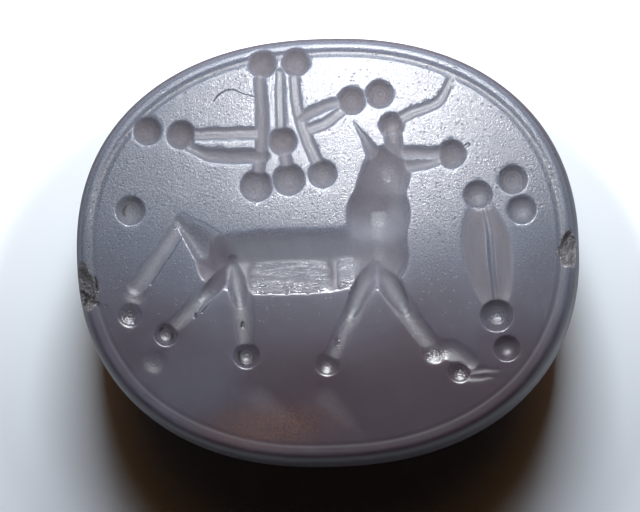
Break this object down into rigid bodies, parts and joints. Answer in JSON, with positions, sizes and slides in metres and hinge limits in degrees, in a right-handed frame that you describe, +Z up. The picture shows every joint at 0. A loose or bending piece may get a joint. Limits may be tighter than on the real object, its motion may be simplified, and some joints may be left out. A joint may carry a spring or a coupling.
{
  "type": "scaraboid seal",
  "caption": "Oval stone seal with a domed back, a lengthwise string hole and a flat face engraved with a horned animal, a star-like figure, a column and round drillings.",
  "frame": {"origin": "middle of the flat spot on the domed back, on which the stone lies", "axes": "+X along the stone and its string hole, towards the way the animal walks; +Y across it, towards the star-like figure; +Z up through the engraved face"},
  "size_m": [0.024, 0.0204, 0.011],
  "materials": {
    "chalcedony": "milky blue-grey chalcedony with a satin polish, ground cuts and a faint brown cloud"
  },
  "bodies": {
    "root": {"scaraboid": "chalcedony"}
  },
  "joints": []
}
